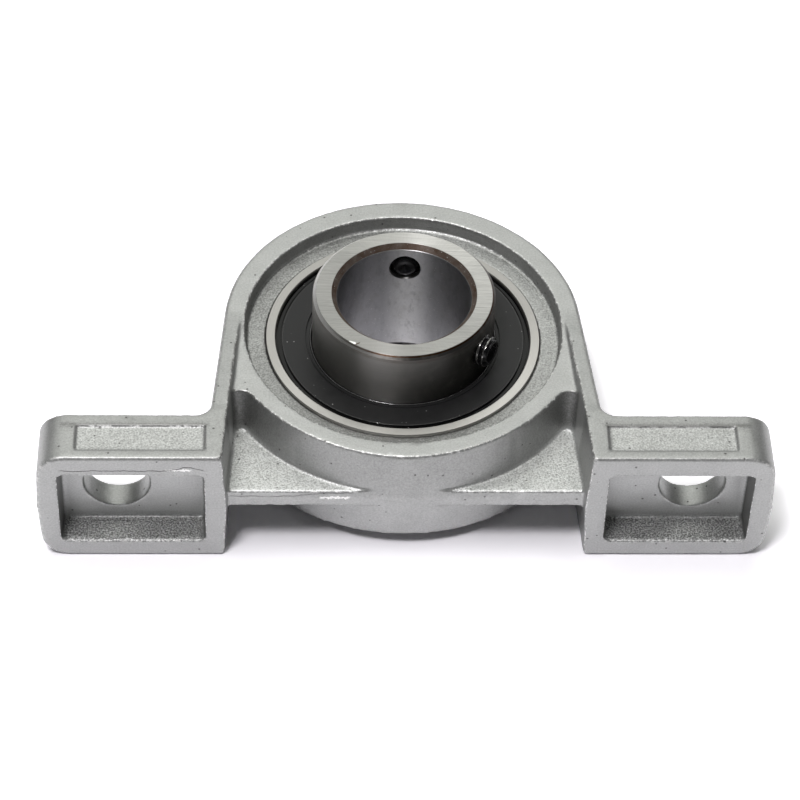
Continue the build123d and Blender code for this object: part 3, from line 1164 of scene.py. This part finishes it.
    def _flash(self, skin: Skin, ragged: np.ndarray, wave: np.ndarray) -> np.ndarray:
        """Return how far the seam on the parting plane stands out of the outer walls.

        Args:
            skin: The casting's corners.
            ragged: Fine noise at each corner.
            wave: Coarse noise at each corner.

        Returns:
            A distance for each corner.
        """
        upright = np.abs(skin.normals[:, 2]) < 0.25
        outward = (skin.points[:, :2] * skin.normals[:, :2]).sum(1) > 0
        near = np.exp(-(skin.z / self.flash_width) ** 2)
        front = (skin.normals[:, 1] < -0.9) & (skin.y > self.web_edge[0]) & (skin.y < self.web_edge[1])
        ring = (skin.radius > self.ring_outside) & (skin.y > self.ring_start) & outward
        ends = (skin.span > self.foot_end) & (np.abs(skin.normals[:, 0]) > 0.7)
        seam = self.flash_height * near * np.clip(0.45 + 1.1 * wave + 0.7 * ragged, 0, 1)
        return np.where(upright & (front | ring | ends), seam * np.where(front, 0.9, 0.55), 0)

    def _seat(self, skin: Skin) -> Tuple[np.ndarray, np.ndarray]:
        """Return which corners lie on the spherical seat, and the factor that keeps each off the insert.

        Args:
            skin: The casting's corners.

        Returns:
            A mask of those corners, and a factor for every corner.
        """
        distance = np.linalg.norm(skin.points, axis=1)
        near = (np.abs(distance - self.seat_radius) < self.seat_band) & (skin.depth < self.seat_half)
        inward = (skin.points * skin.normals).sum(1) < 0
        kept_off = np.maximum(self.seat_radius + self.seat_room, distance)
        return near & inward, kept_off / np.maximum(distance, 1e-9)

    def _lip(self, skin: Skin) -> np.ndarray:
        """Return how far each corner of the pockets' front walls sinks, because those were cast thicker.

        Args:
            skin: The casting's corners.

        Returns:
            A distance for each corner.
        """
        rise = ramp(skin.z, self.lip_start, 1.4 * MM)
        fall = ramp(-skin.z, -self.lip_end, 1.6 * MM)
        inner = ramp(skin.span, self.pocket_inner, self.lip_edge)
        outer = ramp(-skin.span, -self.pocket_outer - self.lip_edge, self.lip_edge)
        return self.lip_drop * rise * fall * inner * outer * (skin.y < self.pocket_back)

    def _lean(self, skin: Skin) -> np.ndarray:
        """Return how far the ring's front wall and the notches lean back towards their tops, at +Z.

        Args:
            skin: The casting's corners.

        Returns:
            A distance for each corner.
        """
        rise = ramp(skin.z, self.web_level, self.half_ring - self.web_level)
        rim = ramp(skin.radius, self.lean_start, 1.6 * MM)
        front = ramp(-skin.y, 8.0 * MM, 4.0 * MM)
        ends = ramp(-skin.span, 0.8 * MM - self.notch_end, 0.8 * MM)
        nook = ramp(skin.y, -20.5 * MM, 1.5 * MM) * ramp(-skin.span, -self.notch_end, 0.4 * MM)
        reach = self.lean + self.notch_lean * skin.span / self.notch_x
        return reach * rise * rim * front * np.maximum(ends, nook)

    def _grain_and_painted_shading(self, skin: Skin) -> Tuple[np.ndarray, np.ndarray]:
        """Return how coarse each corner is and the painted light and shade added to it, which differ from
        wall to wall.

        Args:
            skin: The casting's corners.

        Returns:
            For each corner, how coarse it is and the painted light (above 0) or painted shade (below 0) added
            to its tone.
        """
        y, span, depth = skin.y, skin.span, skin.depth
        across, facing, level = skin.normals[:, 0], skin.normals[:, 1], np.abs(skin.normals[:, 2]) > 0.8
        beside_ring, over_web = span < self.panel_inner, depth > self.web_level
        in_pocket = (depth < self.pocket_wall) & (span > self.pocket_inner)
        web = level & (depth < self.web_level) & (y < self.web_start)
        panel = level & (np.abs(depth - self.panel_floor) < 0.15 * MM) & (y < self.panel_top)
        panel &= (span > self.panel_inner) & (span < self.panel_outer)
        wall = level & in_pocket & (y < self.panel_top)
        wall &= np.hypot(span - self.bolt_x, depth) > self.bolt_room
        cheek = (np.abs(across) > 0.8) & in_pocket & (y < self.pocket_back) & (span < self.pocket_outer)
        border = (np.abs(y - self.panel_back) < 0.14 * MM) & (depth > self.panel_floor)
        border &= (span > self.panel_inner) & (span < self.panel_outer + 1.5 * MM)
        back = (facing < -0.8) & in_pocket & (y > self.pocket_floor)
        foot = level & (depth > self.panel_floor + 0.2 * MM) & (span > self.panel_inner - 2 * MM)
        inward = (skin.points[:, 0] * across < 0) & (np.abs(across) > 0.7)
        flank = inward & beside_ring & (y < self.flank_start) & over_web
        nook = (facing < -0.2) & (span < self.notch_end) & over_web
        nook &= (y > self.nook_y[0]) & (y < self.nook_y[1])
        nook = nook * ramp(span, self.nook_start, 6 * MM)
        front = (facing < -0.8) & (span < self.wall_half) & (skin.z > 0.3 * MM) & (depth < self.half_ring)

        # Each row: a mask, how coarse its grain is, and the painted light (above 0) or painted shade (below
        # 0) it adds to the tone.
        looks = (
            (web, 1.0, 0.28),
            (panel, 0.6, 0.04),
            (wall, 1.8, -0.16),
            (cheek, 0.0, -0.6),
            (border, 0.0, -0.5),
            (back, 0.0, 0.22),
            (foot, 0.0, -0.12),
            (flank, 0.0, -0.3),
            (nook, 0.0, -0.42),
            (front, 0.0, -0.12),
        )
        coarse = sum(share * mask for mask, share, _ in looks)
        painted_shading = sum(tone * mask for mask, _, tone in looks)
        return skin.spread(coarse, 2), skin.spread(painted_shading, 2)


@dataclass
class SetScrew:
    """A set screw with a thread, a cup point towards the shaft and a hexagon socket outside."""

    number: int
    height: float = 7.825 * MM
    tip: float = 7.6 * MM
    length: float = 3.8 * MM
    crest: float = 1.75 * MM
    root: float = 1.47 * MM
    pitch: float = 0.7 * MM
    ridge_height: float = 1.45
    ridge_slope: float = 3.2
    point_radius: float = 1.2 * MM
    point_length: float = 0.45 * MM
    cup_radius: float = 0.75 * MM
    cup_depth: float = 0.4 * MM
    end_chamfer: float = 0.3 * MM
    hex_half: float = 1.0 * MM
    hex_bevel: float = 0.08 * MM
    socket_depth: float = 1.6 * MM
    drill_radius: float = 0.75 * MM
    drill_depth: float = 0.25 * MM
    pole_radius: float = 0.02 * MM
    corners: int = 60
    rings_per_turn: int = 14

    def build(self, material: bpy.types.Material) -> None:
        """Make the threaded screw and put it in the place of the plain one.

        Args:
            material: The screw's finish.
        """
        name = f"set_screw_{self.number}"
        joint = next(j for j in frame["joints"] if j["name"] == f"{name}_travel")
        piece = self._mesh(f"threaded_{name}", Vector(joint["axis"]).normalized())
        dress(piece, material)
        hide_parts(name)
        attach(piece, name)
        log.info("%s: %d faces", piece.name, len(piece.data.polygons))

    def _radius(self, along: float, angle: float) -> float:
        """Return the thread's radius.

        Args:
            along: How far along the screw, from its point.
            angle: The angle round it.

        Returns:
            The radius, which the point and the chamfer at the end cut down.
        """
        phase = (along / self.pitch - angle / (2 * math.pi)) % 1.0
        ridge = min(1.0, max(0.0, self.ridge_height - self.ridge_slope * abs(phase - 0.5)))
        grow = (self.crest - self.point_radius) / self.point_length
        thread = self.root + (self.crest - self.root) * ridge
        chamfer = self.crest - self.end_chamfer + self.length - along
        return min(thread, self.point_radius + grow * along, chamfer)

    def _hexagon(self, angle: float) -> float:
        """Return the socket's radius at an angle."""
        sixth = math.pi / 3
        return self.hex_half / math.cos((angle % sixth) - sixth / 2)

    def _mesh(self, name: str, out: Vector) -> bpy.types.Object:
        """Make the screw.

        Args:
            name: The piece's name.
            out: The direction from the shaft along the screw.

        Returns:
            The piece, with the height of the thread stored at its corners.
        """
        side = UP.cross(out)
        origin = UP * self.height + out * self.tip
        points: List[Vector] = []
        crests: List[float] = []

        def ring(along: float, radius: Callable[[float], float]) -> None:
            """Add a closed row of corners round the screw.

            Args:
                along: How far along the screw the row lies.
                radius: Gives the row's radius at an angle.
            """
            for corner in range(self.corners):
                angle = 2 * math.pi * corner / self.corners
                reach = radius(angle)
                crests.append((reach - self.root) / (self.crest - self.root))
                across = side * (math.cos(angle) * reach) + UP * (math.sin(angle) * reach)
                points.append(origin + out * along + across)

        ring(self.cup_depth, lambda angle: self.pole_radius)
        ring(0.0, lambda angle: self.cup_radius)
        steps = int(self.length / self.pitch * self.rings_per_turn)
        for step in range(steps + 1):
            along = self.length * step / steps
            ring(along, lambda angle, along=along: self._radius(along, angle))
        floor = self.length - self.socket_depth
        ring(self.length, lambda angle: self._hexagon(angle) + self.hex_bevel)
        ring(self.length - self.hex_bevel, self._hexagon)
        ring(floor, self._hexagon)
        ring(floor, lambda angle: self.drill_radius)
        ring(floor - self.drill_depth, lambda angle: self.pole_radius)

        count = len(points)
        faces: List[List[int]] = []
        for below in range(0, count - self.corners, self.corners):
            above = below + self.corners
            for corner in range(self.corners):
                after = (corner + 1) % self.corners
                faces.append([below + corner, above + corner, above + after, below + after])
        faces.append(list(range(self.corners)))
        faces.append(list(range(count - 1, count - 1 - self.corners, -1)))
        piece = add_mesh(name, points, faces)
        store(piece.data, "crest", np.clip(crests, 0, 1))
        return piece


@dataclass
class SealBead:
    """The rounded edges of the front seal: its lip beside the inner ring and its outer rim."""

    lip_radius: float = 10.42 * MM
    rim_radius: float = 13.55 * MM
    lip_width: float = 0.14 * MM
    rim_width: float = 0.07 * MM
    lip_sunk: float = 0.12 * MM
    rim_sunk: float = 0.06 * MM
    unevenness: float = 0.22
    waves: float = 55.0
    sides: int = 10
    steps: int = 220

    def build(self, material: bpy.types.Material) -> None:
        """Make the beads on the front seal.

        Args:
            material: The beads' finish.
        """
        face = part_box("front_seal")[1][2]
        lip = ("seal_lip_bead", self.lip_radius, self.lip_width, face - self.lip_sunk)
        rim = ("seal_rim_bead", self.rim_radius, self.rim_width, face - self.rim_sunk)
        for name, radius, width, height in (lip, rim):
            piece = self._ring(name, radius, width, height)
            dress(piece, material)
            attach(piece, "outer_race")
            log.info("%s: %d faces", name, len(piece.data.polygons))

    def _ring(self, name: str, radius: float, width: float, height: float) -> bpy.types.Object:
        """Make a thin ring whose edge is slightly uneven.

        Args:
            name: The piece's name.
            radius: The radius of its middle line.
            width: The radius of its round section.
            height: How high its middle line lies.

        Returns:
            The piece.
        """
        points: List[Vector] = []
        for step in range(self.steps):
            angle = 2 * math.pi * step / self.steps
            out = Vector((math.cos(angle), math.sin(angle), 0))
            thick = width * (1 + self.unevenness * noise.noise(out * self.waves))
            for side in range(self.sides):
                turn = 2 * math.pi * side / self.sides
                across, rise = radius + thick * math.cos(turn), height + thick * math.sin(turn)
                points.append(out * across + UP * rise)
        count = len(points)
        faces = []
        for corner in range(count):
            row, side = divmod(corner, self.sides)
            after = row * self.sides + (side + 1) % self.sides
            faces.append([corner, (corner + self.sides) % count, (after + self.sides) % count, after])
        return add_mesh(name, points, faces)


@dataclass
class Insert:
    """The insert bearing: rings, balls, cage and seals, as modelled, in their real finishes."""

    balls: int = 9

    def build(self) -> None:
        """Give every CAD node of the insert its finish and add the beads of its front seal."""
        for name, material in self._finishes().items():
            node = frame["nodes"][name]
            node.data.shade_smooth()
            dress(node, material)
            log.info("%s: %s", name, material.name)
        glossy = SealRubber("seal_bead_rubber", roughness=0.12, specular=1.0, band_radius=20 * MM)
        SealBead().build(glossy.material())

    def _finishes(self) -> Dict[str, bpy.types.Material]:
        """Return the material of each node by the node's name.

        Returns:
            A material for each node.
        """
        outer = MachinedSteel("outer_ring_steel", (0.43, 0.42, 0.405), right_gain=0.11, front_gain=0.42)
        ball = MachinedSteel("ball_steel", (0.72, 0.72, 0.73), 0.06, line_depth=0.0).material()
        sheet = MachinedSteel("cage_steel", (0.5, 0.49, 0.47), 0.35, CutLines.STRAIGHT).material()
        washer = MachinedSteel("washer_steel", (0.4, 0.4, 0.4), 0.45, CutLines.STRAIGHT).material()
        rubber = SealRubber().material()
        finishes = {"inner_ring": InnerRingSteel().material(), "outer_ring": outer.material()}
        for number in range(1, self.balls + 1):
            finishes[f"ball_{number}"] = ball
        for name in ("cage_front_half", "cage_back_half", "cage_rivets"):
            finishes[name] = sheet
        for side in ("front", "back"):
            finishes[f"{side}_seal"] = rubber
            finishes[f"{side}_seal_core"] = washer
        return finishes


@dataclass
class Camera:
    """The camera of the photograph, fitted to its circles, planes and right angles."""

    image_width: float = 800.0
    focal_pixels: float = 2904.66
    sensor: float = 36.0
    clip_start: float = 0.01
    place: Span = mm(-11.467, -230.632, 236.414)
    pitch: float = math.radians(46.405)
    yaw: float = math.radians(2.838)
    roll: float = math.radians(2.192)

    def build(self) -> None:
        """Make the camera and use it."""
        data = bpy.data.cameras.new("camera")
        data.sensor_width = self.sensor
        data.lens = self.focal_pixels * self.sensor / self.image_width
        data.clip_start = self.clip_start
        camera = bpy.data.objects.new("camera", data)
        bpy.context.scene.collection.objects.link(camera)
        level = math.cos(self.pitch)
        forward = Vector((math.sin(self.yaw) * level, math.cos(self.yaw) * level, -math.sin(self.pitch)))
        right = forward.cross(UP).normalized()
        up = right.cross(forward)
        turned_right = right * math.cos(self.roll) + up * math.sin(self.roll)
        turned_up = up * math.cos(self.roll) - right * math.sin(self.roll)
        turn = Matrix((turned_right, turned_up, -forward)).transposed()
        camera.matrix_world = Matrix.Translation(Vector(self.place)) @ turn.to_4x4()
        bpy.context.scene.camera = camera


@dataclass(frozen=True)
class Lamp:
    """A square lamp that faces the object. Its size is in metres and its power in watts."""

    name: str
    place: Point
    size: float
    power: float
    colour: Colour

    def build(self) -> None:
        """Make the lamp."""
        data = bpy.data.lights.new(self.name, "AREA")
        data.size = self.size
        data.energy = self.power
        data.color = self.colour
        lamp = bpy.data.objects.new(self.name, data)
        bpy.context.scene.collection.objects.link(lamp)
        lamp.location = self.place
        lamp.rotation_euler = (-Vector(self.place)).to_track_quat("-Z", "Y").to_euler()


@dataclass
class Studio:
    """White floor with painted shade close round the object, white surroundings and soft lamps."""

    floor_height: float = -7.85 * MM
    floor_half: float = 3.0
    floor_colour: Colour = (0.52, 0.515, 0.54)
    painted_floor_shade: Colour = (0.93, 0.92, 0.95)
    floor_far: Colour = (1.42, 1.40, 1.46)
    near_reach: float = 18.0 * MM
    far_reach: float = 22.6 * MM
    lit_reach: float = 0.12
    white_reach: float = 0.30
    sky_colour: Colour = (0.97, 1.0, 0.98)
    sky_strength: float = 0.045
    lamps: Tuple[Lamp, ...] = (
        Lamp("overhead", (-0.04, 0.10, 0.60), 0.50, 1.5, (0.99, 1.0, 0.95)),
        Lamp("back", (-0.02, 0.70, 0.60), 0.90, 2.4, (0.99, 1.0, 0.96)),
        Lamp("key", (-0.145, -0.225, 0.65), 0.14, 2.5, (1.0, 0.98, 1.0)),
    )

    def build(self) -> None:
        """Make the floor, the world and the lamps."""
        self._floor()
        self._world()
        for lamp in self.lamps:
            lamp.build()
        bpy.context.scene.view_settings.view_transform = "Standard"
        log.info("studio: a floor, a world and %d lamps", len(self.lamps))

    @staticmethod
    def _seen(shader: Shader) -> Wire:
        """Return 1 for rays that come from the camera, a gloss or a glass.

        Args:
            shader: The floor's shader.

        Returns:
            The mask as a wire.
        """
        light_path = shader.node("ShaderNodeLightPath").socket.node
        names = ("Is Camera Ray", "Is Glossy Ray", "Is Transmission Ray")
        camera, glossy, through = (Wire(shader.tree, light_path.outputs[name]) for name in names)
        return (camera + glossy + through).clamped()

    def _floor(self) -> None:
        """Make the floor. It looks white and keeps the shadow, with painted shade close round the object, and
        far away it is plain white.
        """
        half, level = self.floor_half, self.floor_height
        corners = [(-half, -half, level), (half, -half, level), (half, half, level), (-half, half, level)]
        floor = add_mesh("floor", corners, [[0, 1, 2, 3]])
        shader = Shader(bpy.data.materials.new("floor_white"))
        spot = shader.spot()
        seen = self._seen(shader)
        reach = spot.x.distance(spot.y.at_least(0.0)).at_least(-1 * spot.y)
        # Painted shade: seen near the object the floor is darker, turning white between near_reach and
        # far_reach.
        far = ((reach - self.near_reach) / (self.far_reach - self.near_reach)).clamped()
        colour = shader.mix(seen, self.floor_colour, shader.mix(far, self.painted_floor_shade, self.floor_far))
        lit = shader.node("ShaderNodeBsdfDiffuse", inputs={"Color": colour})
        plain = shader.node("ShaderNodeEmission", inputs={"Color": WHITE, "Strength": 1.0})
        beyond = ((reach - self.lit_reach) / (self.white_reach - self.lit_reach)).clamped() * seen
        both = shader.node("ShaderNodeMixShader", inputs={0: beyond, 1: lit, 2: plain})
        shader.close("ShaderNodeOutputMaterial", both)
        dress(floor, shader.owner)

    def _world(self) -> None:
        """Make the world: white where it is seen, a soft even light elsewhere."""
        shader = Shader(bpy.data.worlds.new("white_room"))
        bpy.context.scene.world = shader.owner
        seen = shader.node("ShaderNodeLightPath", output="Is Camera Ray")
        sky = {"Color": (*self.sky_colour, 1.0), "Strength": self.sky_strength}
        light = shader.node("ShaderNodeBackground", inputs=sky)
        white = shader.node("ShaderNodeBackground", inputs={"Color": WHITE, "Strength": 1.0})
        both = shader.node("ShaderNodeMixShader", inputs={0: seen, 1: light, 2: white})
        shader.close("ShaderNodeOutputWorld", both)


def main() -> None:
    """Build the scene."""
    logging.basicConfig(level=logging.INFO, format="%(name)s: %(message)s")
    Camera().build()
    Studio().build()
    CastHousing().build(CastZinc().material())
    Insert().build()
    black = BlackOxide().material()
    for number in (1, 2):
        SetScrew(number).build(black)


if __name__ == "__main__":
    main()
